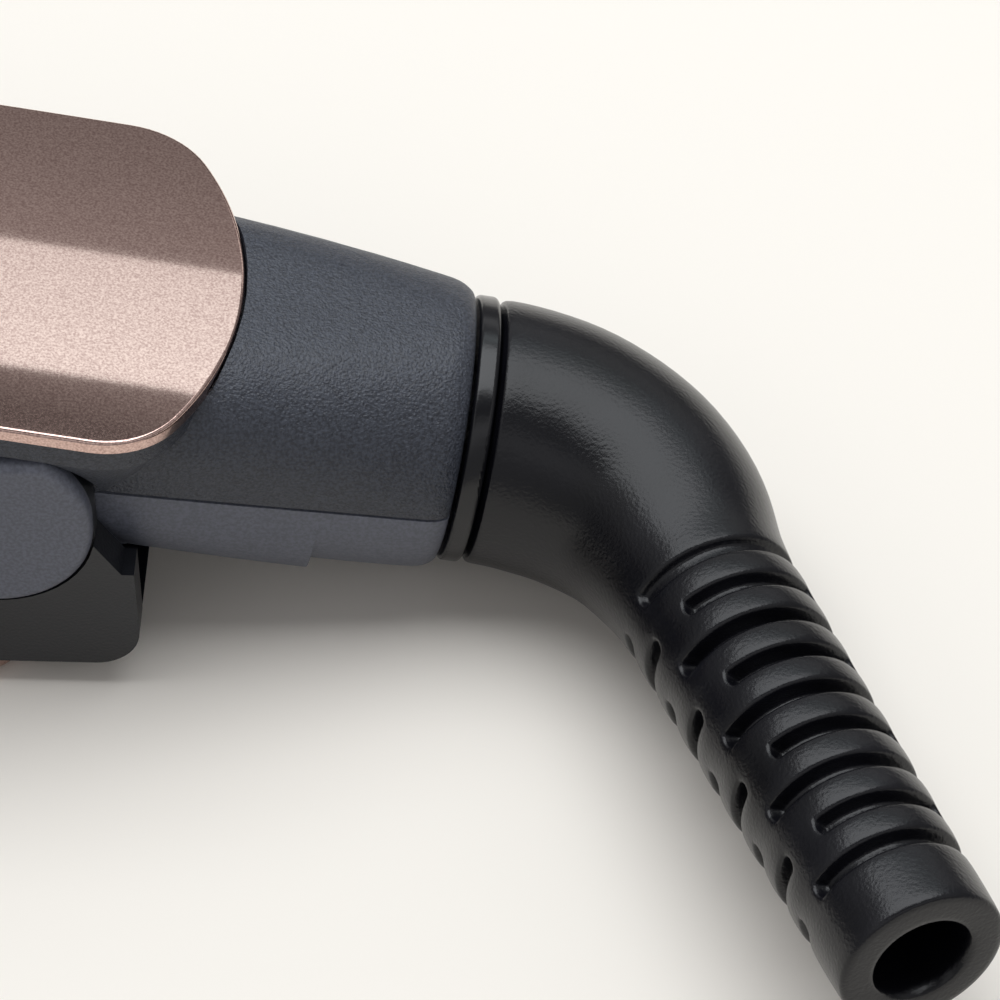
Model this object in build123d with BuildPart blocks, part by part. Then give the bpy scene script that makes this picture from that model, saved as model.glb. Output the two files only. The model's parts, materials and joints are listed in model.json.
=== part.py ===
from build123d import *
from math import cos, radians, sin, sqrt
import os

# Hair straightener lying open on its lower arm, in millimetres.
# +X runs from the tips to the cord, +Z is up, and the origin is on the table under the hinge axis.

# Arms
ARM_REACH = 235.0  # hinge axis to the tip of an arm
ARM_TAPER = 1.0  # what the half width loses towards the tip
ARM_DEPTH = 14.3  # plane where the plates meet to the outer face of a cover
WALL = 1.6
HANDLE_RECESS = 1.0  # inner faces stand back from the plane where the plates meet
TIP_LENGTH = 12.0
TIP_CORNER = 8.0
TIP_EDGE = 1.5
TIP_WALL = 3.0
TONGUE = 3.5
FIT = 0.15  # gap beside a piece that drops into a window or a pocket

# Covers
COVER_RIM = 1.6  # height of a cover at its flat land
COVER_LAND = 6.0  # half width of the flat land
COVER_CROWN = 0.6  # how far the sides of a cover fall
COVER_EDGE = 0.3
COVER_END_RADIUS = 25.0
COVER_CORNER = 7.0
COVER_SHADOW = 0.25  # the housing stands back under the rim of the cover
LIP_WALL = 1.0

# Hinge
HINGE_ABOVE_CONTACT = 3.7
OPEN_ANGLE = 10.5
PIN_RADIUS = 1.5
PIN_RUNNING = 0.05
EAR_INNER = 13.3
EAR_THICKNESS = 1.8
EAR_RADIUS = 7.6
EAR_TOP = 6.0
EAR_GAP = 0.4
CAP_DROP = 1.0
CAP_EDGE = 0.9
KNUCKLE_RADIUS = 8.2
KNUCKLE_GAP = 0.6
HANDLE_END = -9.0

# Rear body behind the hinge
REAR_LENGTH = 33.3  # hinge axis to the swivel ring
REAR_WALL = 2.5
FLANK = 12.9  # half width beside the hinge
WAIST = 12.0
WAIST_STATION = 16.4
FLANK_STATION = 8.0
END_RADIUS = 10.65
BELLY = 7.4  # underside of the rear body, down from the hinge axis
FRONT_CORNER = 6.0
FLANK_CORNER = 7.0
WAIST_CORNER = 7.5
SEAM = 1.0
SEAM_GAP = 0.25
PAD_PROUD = 1.15
PAD_END = 23.9
UPPER_APEX = 16.1  # round end of the upper cover
SHOULDER_FOOT = 7.0  # lower edge of the wall under the upper cover
FLARE = 3.5  # how far the shoulder draws in down to the seam

# Rear of the lower arm
LOWER_APEX = 5.0
TAIL_STATION = 10.3
TAIL_HALF_WIDTH = 16.0
TAIL_TOP = 12.3
TAIL_FLOOR = 2.5
TAIL_DECK = 5.0
TAIL_CORNER = 3.5

# Heating plates
PLATE_FRONT = -216.0
PLATE_REAR = -114.0
PLATE_HALF_WIDTH = 12.0
PLATE_SIDE_GAP = 1.8  # from the plate's flange to the shell's wall
PLATE_TRAVEL = 1.0
PLATE_FLANGE = 1.1
PLATE_FLANGE_HEIGHT = 1.15
PLATE_GAP = 0.1  # each plate stands this far from the plane where the arms meet
PLATE_EDGE = 1.2
HEATER_LENGTH = 60.0
HEATER_HALF_WIDTH = 7.0
HEATER_HEIGHT = 1.7
SENSOR_LENGTH = 6.0
SENSOR_RADIUS = 0.8
CARRIER_CLEARANCE = 0.4  # from a pressed plate's heater to its carrier
SPRING_RADIUS = 1.8
SPRING_WALL = 0.6
SPRING_SIDE = 9.8
SPRING_INSET = 7.0
CARRIER_THICKNESS = 1.4
CARRIER_OVERHANG = 0.8
CARRIER_RIB = 1.5
REST_WIDTH = 1.4
REST_GAP = 0.3
REST_SIDE = 10.0
REST_HALF_WIDTH = 2.5

# Screws and leads
COVER_SCREWS = (-100.0, -22.0)
SCREW_RADIUS = 1.2
SCREW_HEAD = 2.4
SCREW_HEAD_HEIGHT = 1.4
SCREW_SINK = 0.4
DRIVE_RADIUS = 0.9
BOSS_WALL = 1.75
REAR_SCREW_STATION = 9.5
REAR_SCREW_SIDE = 7.0
REAR_SCREW_SEAT = -6.3
LEAD_RADIUS = 0.6
LEAD_SIDE = 6.0
LEAD_BEND = 2.0
LEAD_CLEARANCE = 0.3  # from a pressed plate to its leads
HINGE_LEAD_SIDE = 2.5
HINGE_LEAD_HEIGHT = 9.3

# Controls on the inner face of the lower arm
PANEL_FRONT = -84.0
PANEL_REAR = -34.0
PANEL_HALF_WIDTH = 7.0
PANEL_FLANGE = 1.0
PANEL_FLANGE_HEIGHT = 0.8
BUTTONS = {"power_button": -76.0, "plus_button": -61.0, "minus_button": -50.0}
BUTTON_RADIUS = 3.2
BUTTON_PROUD = 0.6
BUTTON_TRAVEL = 0.5
BUTTON_EDGE = 0.35
BUTTON_FLANGE = 0.8
BUTTON_FLANGE_HEIGHT = 0.6
PLUNGER_RADIUS = 1.4
BOARD_HEIGHT = 7.6
BOARD_THICKNESS = 1.2
BOARD_OVERHANG = 6.0
BOARD_HALF_WIDTH = 9.0
BOARD_POST_RADIUS = 1.6
SWITCH_HEIGHT = 1.8
SWITCH_HALF_WIDTH = 2.2
LENS_COUNT = 4
LENS_STATION = -40.0
LENS_RADIUS = 0.9
LENS_SPACING = 3.2

# Swivel and strain relief
SPINDLE_RADIUS = 4.2
SPINDLE_STEP = 0.7  # the bearing is this much larger in radius
SPINDLE_RUNNING = 0.08
SPINDLE_FRONT = 17.3
CLIP_RADIUS = 7.0
CLIP_THICKNESS = 1.2
CLIP_MOUTH = 2.4
RING_STATIONS = (-14.5, -11.0)
RING_THICKNESS = 0.8
RING_LENGTH = 2.0
BRUSH_GAP = 0.08
BRUSH_HEIGHT = 0.8
BRUSH_LENGTH = 1.6
HOLDER_THICKNESS = 0.7
HOLDER_GAP = 0.12  # from the brush holder to the floor at the waist
COLLAR_RADIUS = 10.0
COLLAR_LENGTH = 1.65
COLLAR_GAP = 0.25
GROOVE_RADIUS = 9.4
GROOVE_LENGTH = 0.4
ELBOW_RADIUS = 15.2
ELBOW_ANGLE = 68.0
ELBOW_RUN = 5.2
RELIEF_ROLL = 8.0
NECK_RADIUS = 6.85
NECK_STEP = 0.08  # the ribs stand back this far from the end of the elbow
RIB_END_RADIUS = 6.05
RIB_LENGTH = 38.0
RIB_PITCH = 3.65
SLOT_WIDTH = 1.65
SLOT_START = 2.1
WEB_WIDTH = 2.8
WEB_TURNS = ((88, 268), (64, 178, 292))  # degrees from the top towards the left, in turn from slot to slot
CORE_RADIUS = 4.9
SHALLOW_START = 1.1
SHALLOW_STEP = 0.55
CORD_RADIUS = 3.5
PASSAGE_STEP = 0.2  # past its straight bore the cord's passage is this much narrower in radius
SOCKET_DEPTH = 2.7

ARM_HALF_WIDTH = PLATE_HALF_WIDTH + PLATE_FLANGE + PLATE_SIDE_GAP + WALL
COVER_SEAT = ARM_DEPTH - COVER_RIM
TIP_JOINT = TIP_LENGTH - ARM_REACH
BODY_TOP = ARM_DEPTH - HINGE_ABOVE_CONTACT
BODY_RIM = COVER_SEAT - HINGE_ABOVE_CONTACT
HINGE_HEIGHT = ARM_DEPTH + HINGE_ABOVE_CONTACT
FLOOR = HANDLE_RECESS + WALL
FLANGE_SEAT = FLOOR + FIT
PLATE_BACK = FLANGE_SEAT + PLATE_FLANGE_HEIGHT
SENSOR_BASE = HEATER_HEIGHT - SENSOR_RADIUS
CARRIER_SEAT = PLATE_BACK + HEATER_HEIGHT + PLATE_TRAVEL + CARRIER_CLEARANCE
PLATE_MIDDLE = (PLATE_FRONT + PLATE_REAR) / 2
HEATER_END = PLATE_MIDDLE + HEATER_LENGTH / 2
REST_FRONT = PLATE_FRONT - PLATE_FLANGE - REST_GAP - REST_WIDTH
REST_REAR = PLATE_REAR + PLATE_FLANGE + REST_GAP
CAP_INNER = EAR_INNER + EAR_THICKNESS
PANEL_BACK = FLOOR + PANEL_FLANGE_HEIGHT
SPINDLE_BEARING = SPINDLE_RADIUS + SPINDLE_STEP
BRUSH_FOOT = SPINDLE_RADIUS + RING_THICKNESS + BRUSH_GAP + BRUSH_HEIGHT  # down from the swivel's axis
WAIST_BELLY = BRUSH_FOOT + HOLDER_THICKNESS + HOLDER_GAP + WALL
LENS_SIDES = [(place - (LENS_COUNT - 1) / 2) * LENS_SPACING for place in range(LENS_COUNT)]

# Frames: the hinge axis, the tilted upper body, and each arm from the plane where they meet outwards.
TILT = radians(OPEN_ANGLE)
HINGE = Plane(origin=(0, 0, HINGE_HEIGHT), x_dir=(1, 0, 0), z_dir=(0, 0, 1))
BODY = Plane(origin=(0, 0, HINGE_HEIGHT), x_dir=(cos(TILT), 0, -sin(TILT)), z_dir=(sin(TILT), 0, cos(TILT)))
UPPER_ARM = BODY.offset(-HINGE_ABOVE_CONTACT)
LOWER_ARM = Plane(origin=(0, 0, ARM_DEPTH), x_dir=(1, 0, 0), z_dir=(0, 0, -1))


def across(frame, station):
    """Plane square to an arm; its X is the frame's Y and its Y is the frame's Z."""
    return Plane(origin=frame.from_local_coords((station, 0, 0)), x_dir=frame.y_dir, z_dir=frame.x_dir)


def beside(frame, y):
    """Plane along an arm and upright; it faces the frame's -Y."""
    return Plane(origin=frame.from_local_coords((0, y, 0)), x_dir=frame.x_dir, z_dir=-frame.y_dir)


def slab(frame, stations, half_width, heights, mode=Mode.ADD, y=0.0):
    """Box on a frame, from station to station and from height to height."""
    start, end = stations
    low, high = heights
    with Locations(frame.location * Location(((start + end) / 2, y, (low + high) / 2))):
        Box(end - start, 2 * half_width, high - low, mode=mode)


def post(frame, station, y, radius, heights, mode=Mode.ADD):
    """Upright cylinder on a frame."""
    low, high = heights
    with Locations(frame.location * Location((station, y, (low + high) / 2))):
        Cylinder(radius, high - low, mode=mode)


def axle(frame, radius, reach, mode=Mode.ADD, height=0.0):
    """Cylinder along the hinge axis, centred on the arm."""
    with Locations(frame.location * Location((0, 0, height))):
        Cylinder(radius, 2 * reach, rotation=(90, 0, 0), mode=mode)


def half_width(station, inset=0.0):
    """Half width of an arm at a station."""
    return ARM_HALF_WIDTH - ARM_TAPER * max(0.0, -station) / ARM_REACH - inset


def strip(frame, height, front, rear, inset=0.0):
    """Plan of an arm between two stations, as a face at one height."""
    with BuildSketch(frame.offset(height)) as plan:
        Polygon(
            (front, half_width(front, inset)),
            (rear, half_width(rear, inset)),
            (rear, -half_width(rear, inset)),
            (front, -half_width(front, inset)),
            align=None,
        )
    return plan.sketch


def round_strip(frame, height, front, apex, inset=0.0):
    """The same with a round rear end, as a cover has."""
    end_radius = COVER_END_RADIUS - inset
    side = half_width(0, inset)
    shoulder = apex - inset - end_radius + sqrt(end_radius**2 - side**2)
    with BuildSketch(frame.offset(height)) as plan:
        with BuildLine():
            Polyline((shoulder, side), (front, half_width(front, inset)),
                     (front, -half_width(front, inset)), (shoulder, -side))
            ThreePointArc((shoulder, -side), (apex - inset, 0), (shoulder, side))
        make_face()
        fillet(plan.vertices().group_by(Axis.X)[-1], COVER_CORNER - inset)
    return plan.sketch


def body_loft(inset=0.0, drop=0.0, front=HANDLE_END - 1.0, rear=REAR_LENGTH):
    """Rear body between two stations, drawn in by inset, its underside lower by drop."""
    sections = (
        (HANDLE_END - 1.0, FLANK, BODY_TOP, BELLY, FRONT_CORNER),
        (FLANK_STATION, FLANK - 0.3, BODY_TOP, BELLY, FLANK_CORNER),
        (WAIST_STATION, WAIST, BODY_TOP, WAIST_BELLY, WAIST_CORNER),
        (REAR_LENGTH, END_RADIUS, END_RADIUS, END_RADIUS, END_RADIUS - 0.05),
    )
    with BuildPart() as body:
        for station, width, top, bottom, corner in sections:
            with BuildSketch(across(BODY, station)):
                with Locations((0, (top - bottom - drop) / 2)):
                    RectangleRounded(2 * (width - inset), top + bottom + drop - 2 * inset, corner - inset)
        loft()
        slab(BODY, (front, rear), 2 * FLANK, (-2 * END_RADIUS, 2 * END_RADIUS), mode=Mode.INTERSECT)
    return body.part


def rear_cavity():
    """Space inside the rear body, under the floor that carries the upper cover."""
    with BuildPart() as cavity:
        add(body_loft(WALL, front=HANDLE_END, rear=REAR_LENGTH - REAR_WALL))
        under_cover = (HANDLE_END - 2, UPPER_APEX + WALL)
        slab(BODY, under_cover, 2 * FLANK, (BODY_RIM - WALL, 2 * BODY_TOP), mode=Mode.SUBTRACT)
    return cavity.part


def knuckle(radius):
    """All that lies behind the hinge axis, and a round nose about it."""
    with BuildPart() as nose:
        slab(BODY, (0, 2 * REAR_LENGTH), 2 * FLANK, (-2 * END_RADIUS, 2 * END_RADIUS))
        axle(BODY, radius, 2 * FLANK)
    return nose.part


def cut_bearing():
    """Bores the rear wall of the active part for the spindle."""
    with Locations(BODY.location * Location((REAR_LENGTH, 0, 0))):
        Cylinder(SPINDLE_BEARING + SPINDLE_RUNNING, 4 * REAR_WALL, rotation=(0, 90, 0), mode=Mode.SUBTRACT)


def cut_ear_room():
    """Makes room in the active part for the ears of the lower arm on both sides."""
    width = ARM_HALF_WIDTH + 2 - FLANK - 0.1
    for y in (-FLANK - 0.1, FLANK + 0.1 + width):
        with BuildSketch(beside(BODY, y)) as room:
            Circle(EAR_RADIUS + EAR_GAP)
            with Locations((HANDLE_END / 2, -SHOULDER_FOOT)):
                Rectangle(-HANDLE_END, 4 * SHOULDER_FOOT)
            with Locations((0, 2 * SHOULDER_FOOT)):
                Rectangle(4 * EAR_RADIUS, 2 * SHOULDER_FOOT, mode=Mode.SUBTRACT)
        extrude(room.sketch, amount=width, mode=Mode.SUBTRACT)


def ear_outline(frame, y, grow=0.0):
    """D-shaped outline of a hinge cap, flat on top, as a face beside the arm."""
    with BuildSketch(beside(frame, y)) as outline:
        with Locations((0, -CAP_DROP / 2)):
            SlotCenterToCenter(CAP_DROP, 2 * (EAR_RADIUS + grow), rotation=90)
        with Locations((0, EAR_TOP + grow + EAR_RADIUS)):
            Rectangle(4 * EAR_RADIUS, 2 * EAR_RADIUS, mode=Mode.SUBTRACT)
    return outline.sketch


def add_tub(frame):
    """Adds the long open shell of an arm to the active part, with its window, rests and screw pads."""
    extrude(strip(frame, HANDLE_RECESS, TIP_JOINT, HANDLE_END), amount=COVER_SEAT - HANDLE_RECESS)
    inside = strip(frame, FLOOR, TIP_JOINT - 1, HANDLE_END - WALL, WALL)
    extrude(inside, amount=ARM_DEPTH, mode=Mode.SUBTRACT)
    window = (PLATE_FRONT - FIT, PLATE_REAR + FIT)
    slab(frame, window, PLATE_HALF_WIDTH + FIT, (0, FLOOR + 1), mode=Mode.SUBTRACT)
    for start in (REST_FRONT, REST_REAR):
        for side in (-REST_SIDE, REST_SIDE):
            slab(frame, (start, start + REST_WIDTH), REST_HALF_WIDTH, (FLOOR, CARRIER_SEAT), y=side)
    head_back = HANDLE_RECESS + SCREW_SINK + SCREW_HEAD_HEIGHT
    for station in COVER_SCREWS:
        post(frame, station, 0, SCREW_RADIUS + 2 * BOSS_WALL, (HANDLE_RECESS, FLOOR + WALL))
        post(frame, station, 0, SCREW_HEAD + FIT, (0, head_back), mode=Mode.SUBTRACT)
        post(frame, station, 0, SCREW_RADIUS + FIT, (0, FLOOR + 2 * WALL), mode=Mode.SUBTRACT)


def make_cover(frame, apex):
    """Outer cover of an arm: flat land, slightly fallen sides, round rear end and two screw bosses."""
    fall = ARM_HALF_WIDTH - COVER_LAND
    crown_radius = (fall**2 + COVER_CROWN**2) / (2 * COVER_CROWN)
    halfway_drop = crown_radius - sqrt(crown_radius**2 - (fall / 2) ** 2)
    side_top = ARM_DEPTH - COVER_CROWN
    with BuildPart() as cover:
        extrude(round_strip(frame, COVER_SEAT, TIP_JOINT, apex), amount=COVER_RIM)
        with BuildSketch(across(frame, TIP_JOINT)) as section:
            with BuildLine():
                Polyline((-ARM_HALF_WIDTH, side_top), (-ARM_HALF_WIDTH, 0), (ARM_HALF_WIDTH, 0),
                         (ARM_HALF_WIDTH, side_top))
                ThreePointArc((ARM_HALF_WIDTH, side_top), (COVER_LAND + fall / 2, ARM_DEPTH - halfway_drop),
                              (COVER_LAND, ARM_DEPTH))
                Line((COVER_LAND, ARM_DEPTH), (-COVER_LAND, ARM_DEPTH))
                ThreePointArc((-COVER_LAND, ARM_DEPTH), (-COVER_LAND - fall / 2, ARM_DEPTH - halfway_drop),
                              (-ARM_HALF_WIDTH, side_top))
            make_face()
        extrude(section.sketch, amount=apex - TIP_JOINT, mode=Mode.INTERSECT)
        rim = []
        for edge in cover.edges():
            middle = frame.to_local_coords(edge.center())
            along_land = edge.length > ARM_REACH / 2 and abs(middle.Y) < COVER_LAND + 1
            if middle.Z > side_top - 0.3 and middle.X > TIP_JOINT + 1 and not along_land:
                rim.append(edge)
        fillet(rim, COVER_EDGE)
        lip_front = TIP_JOINT + TONGUE + LIP_WALL
        lip_rear = HANDLE_END - 2 * WALL
        extrude(strip(frame, COVER_SEAT - WALL, lip_front, lip_rear, WALL + FIT), amount=WALL)
        lip_inset = WALL + FIT + LIP_WALL
        hollow = strip(frame, COVER_SEAT - WALL, lip_front + LIP_WALL, lip_rear - LIP_WALL, lip_inset)
        extrude(hollow, amount=WALL, mode=Mode.SUBTRACT)
        for station in COVER_SCREWS:
            post(frame, station, 0, SCREW_RADIUS + BOSS_WALL, (FLOOR + WALL, COVER_SEAT))
            post(frame, station, 0, SCREW_RADIUS + 0.03, (FLOOR, COVER_SEAT - WALL), mode=Mode.SUBTRACT)
    return cover.part


def make_tip(frame):
    """Cool end cap of an arm, with a tongue that plugs into the open end of the shell."""
    with BuildPart() as tip:
        with BuildSketch(frame.offset(HANDLE_RECESS / 2)) as plan:
            Polygon(
                (-ARM_REACH, half_width(-ARM_REACH)), (TIP_JOINT, half_width(TIP_JOINT)),
                (TIP_JOINT, -half_width(TIP_JOINT)), (-ARM_REACH, -half_width(-ARM_REACH)), align=None,
            )
            fillet(plan.vertices().group_by(Axis.X)[0], TIP_CORNER)
        extrude(plan.sketch, amount=ARM_DEPTH - COVER_CROWN / 2 - HANDLE_RECESS / 2)
        front_edges = [
            edge for edge in tip.edges()
            if frame.to_local_coords(edge.center()).X < TIP_JOINT - 0.5
            and abs(frame.to_local_coords(edge.center()).Z - ARM_DEPTH / 2) > ARM_DEPTH / 3
        ]
        fillet(front_edges, TIP_EDGE)
        tongue = strip(frame, FLOOR + FIT, TIP_JOINT, TIP_JOINT + TONGUE, WALL + FIT)
        extrude(tongue, amount=COVER_SEAT - WALL - 2 * FIT - FLOOR)
        slab(frame, (TIP_WALL - ARM_REACH, TIP_JOINT + TONGUE + 1), half_width(-ARM_REACH, TIP_WALL + 2),
             (FLOOR + WALL, COVER_SEAT - TIP_WALL), mode=Mode.SUBTRACT)
    return tip.part


def make_plate(frame):
    """Aluminium heating plate; its flange holds it behind the window of the shell."""
    with BuildPart() as plate:
        slab(frame, (PLATE_FRONT, PLATE_REAR), PLATE_HALF_WIDTH, (PLATE_GAP, FLANGE_SEAT))
        bottom_edges = [e for e in plate.edges() if frame.to_local_coords(e.center()).Z < PLATE_GAP + 0.1]
        fillet(bottom_edges, PLATE_EDGE)
        slab(frame, (PLATE_FRONT - PLATE_FLANGE, PLATE_REAR + PLATE_FLANGE), PLATE_HALF_WIDTH + PLATE_FLANGE,
             (FLANGE_SEAT, PLATE_BACK))
    return plate.part


def make_heater(frame):
    """Flat ceramic heater on the back of a plate."""
    with BuildPart() as heater:
        slab(frame, (HEATER_END - HEATER_LENGTH, HEATER_END), HEATER_HALF_WIDTH,
             (PLATE_BACK, PLATE_BACK + HEATER_HEIGHT))
    return heater.part


def make_sensor(frame):
    """Temperature sensor on the back of a plate, behind the heater."""
    start = HEATER_END + 2.0
    with BuildPart() as sensor:
        slab(frame, (start, start + SENSOR_LENGTH), SENSOR_RADIUS + WALL / 2,
             (PLATE_BACK, PLATE_BACK + SENSOR_BASE))
        with Locations(frame.location * Location((start + SENSOR_LENGTH / 2, 0, PLATE_BACK + SENSOR_BASE))):
            Cylinder(SENSOR_RADIUS, SENSOR_LENGTH, rotation=(0, 90, 0))
    return sensor.part


def make_carrier(frame):
    """Flat carrier behind a plate, resting on the shell, which the plate's springs push against."""
    span = (REST_FRONT, REST_REAR + REST_WIDTH)
    rib_foot = CARRIER_SEAT + CARRIER_THICKNESS
    with BuildPart() as carrier:
        slab(frame, span, PLATE_HALF_WIDTH + CARRIER_OVERHANG, (CARRIER_SEAT, rib_foot))
        for side in (-PLATE_HALF_WIDTH, PLATE_HALF_WIDTH):
            slab(frame, span, CARRIER_OVERHANG, (rib_foot, rib_foot + CARRIER_RIB), y=side)
    return carrier.part


def make_plate_springs(frame):
    """Four plate springs, each drawn as a sleeve of the coil's size."""
    heights = (PLATE_BACK, CARRIER_SEAT)
    with BuildPart() as springs:
        for station in (PLATE_FRONT + SPRING_INSET, PLATE_REAR - SPRING_INSET):
            for side in (-SPRING_SIDE, SPRING_SIDE):
                post(frame, station, side, SPRING_RADIUS, heights)
                post(frame, station, side, SPRING_RADIUS - SPRING_WALL, heights, mode=Mode.SUBTRACT)
    return springs.part


def make_cover_screws(frame):
    """Two screws that draw a cover to its shell."""
    head = HANDLE_RECESS + SCREW_SINK
    with BuildPart() as screws:
        for station in COVER_SCREWS:
            post(frame, station, 0, SCREW_HEAD, (head, head + SCREW_HEAD_HEIGHT))
            post(frame, station, 0, SCREW_RADIUS, (head + SCREW_HEAD_HEIGHT, COVER_SEAT - WALL - 1))
            post(frame, station, 0, DRIVE_RADIUS, (head, head + SCREW_HEAD_HEIGHT / 2), mode=Mode.SUBTRACT)
    return screws.part


def make_leads(frame, route):
    """Two leads side by side along one route, each given as points on the left side."""
    with BuildPart() as leads:
        for side in (-1, 1):
            points = [frame.from_local_coords((x, side * y, z)) for x, y, z in route]
            with BuildLine() as path:
                FilletPolyline(*points, radius=LEAD_BEND)
            with BuildSketch(Plane(origin=path.line @ 0, z_dir=path.line % 0)) as section:
                Circle(LEAD_RADIUS)
            sweep(section.sketch, path.line)
    return leads.part


def save(part, name):
    """Names a piece and writes it."""
    part.label = name
    export_step(part, f"parts/{name}.step")


os.makedirs("parts", exist_ok=True)

# Upper arm and the rear body above the seam

with BuildPart() as rear_upper:
    add(body_loft())
    slab(BODY, (HANDLE_END - 3, 2 * REAR_LENGTH), 2 * FLANK, (-3 * END_RADIUS, SEAM), mode=Mode.SUBTRACT)
    extrude(round_strip(BODY, SHOULDER_FOOT, HANDLE_END - 1, UPPER_APEX, COVER_SHADOW),
            amount=BODY_RIM - SHOULDER_FOOT)
    loft(Sketch() + [
        round_strip(BODY, SEAM, HANDLE_END - 1, UPPER_APEX, FLARE),
        round_strip(BODY, SHOULDER_FOOT, HANDLE_END - 1, UPPER_APEX, COVER_SHADOW),
    ])
    cut_ear_room()
    cover_room = round_strip(BODY, BODY_RIM, HANDLE_END - 2, UPPER_APEX, -FIT)
    extrude(cover_room, amount=COVER_RIM * 2, mode=Mode.SUBTRACT)
    add(rear_cavity(), mode=Mode.SUBTRACT)
    for side in (-REAR_SCREW_SIDE, REAR_SCREW_SIDE):
        post(BODY, REAR_SCREW_STATION, side, SCREW_RADIUS + BOSS_WALL, (SEAM, BODY_RIM - WALL))
        post(BODY, REAR_SCREW_STATION, side, SCREW_RADIUS, (SEAM, BODY_RIM - 2 * WALL), mode=Mode.SUBTRACT)
    axle(BODY, PIN_RADIUS, 2 * FLANK, mode=Mode.SUBTRACT)
    cut_bearing()

with BuildPart() as upper_housing:
    add(rear_upper.part)
    add_tub(UPPER_ARM)
    passage = (CARRIER_SEAT, COVER_SEAT - WALL)
    slab(UPPER_ARM, (HANDLE_END - 2 * WALL, HANDLE_END + 1), LEAD_SIDE + 2, passage, mode=Mode.SUBTRACT)
save(upper_housing.part, "upper_housing")

# Rear body below the seam, with the proud pad on its underside

with BuildPart() as strip_cavity:
    add(rear_cavity())
    add(knuckle(KNUCKLE_RADIUS - WALL), mode=Mode.INTERSECT)

with BuildPart() as rear_strip:
    add(body_loft())
    add(body_loft(drop=PAD_PROUD, rear=PAD_END))
    above_seam = (SEAM - SEAM_GAP, 3 * END_RADIUS)
    slab(BODY, (HANDLE_END - 3, 2 * REAR_LENGTH), 2 * FLANK, above_seam, mode=Mode.SUBTRACT)
    add(knuckle(KNUCKLE_RADIUS), mode=Mode.INTERSECT)
    add(strip_cavity.part, mode=Mode.SUBTRACT)
    for side in (-REAR_SCREW_SIDE, REAR_SCREW_SIDE):
        post(BODY, REAR_SCREW_STATION, side, SCREW_RADIUS + BOSS_WALL, (-BELLY, SEAM))
        shank_hole = (-BODY_TOP, SEAM)
        head_hole = (-2 * BODY_TOP, REAR_SCREW_SEAT)
        post(BODY, REAR_SCREW_STATION, side, SCREW_RADIUS + PIN_RUNNING, shank_hole, mode=Mode.SUBTRACT)
        post(BODY, REAR_SCREW_STATION, side, SCREW_HEAD, head_hole, mode=Mode.SUBTRACT)
    axle(BODY, PIN_RADIUS, 2 * FLANK, mode=Mode.SUBTRACT)
    cut_bearing()
save(rear_strip.part, "rear_strip")

head = (REAR_SCREW_SEAT - SCREW_HEAD_HEIGHT, REAR_SCREW_SEAT)
drive = (head[0], head[0] + SCREW_HEAD_HEIGHT / 2)
with BuildPart() as rear_screws:
    for side in (-REAR_SCREW_SIDE, REAR_SCREW_SIDE):
        post(BODY, REAR_SCREW_STATION, side, SCREW_HEAD - FIT, head)
        post(BODY, REAR_SCREW_STATION, side, SCREW_RADIUS, (REAR_SCREW_SEAT, BODY_RIM - 2 * WALL))
        post(BODY, REAR_SCREW_STATION, side, DRIVE_RADIUS, drive, mode=Mode.SUBTRACT)
save(rear_screws.part, "rear_screws")

# Lower arm with its ears

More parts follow.
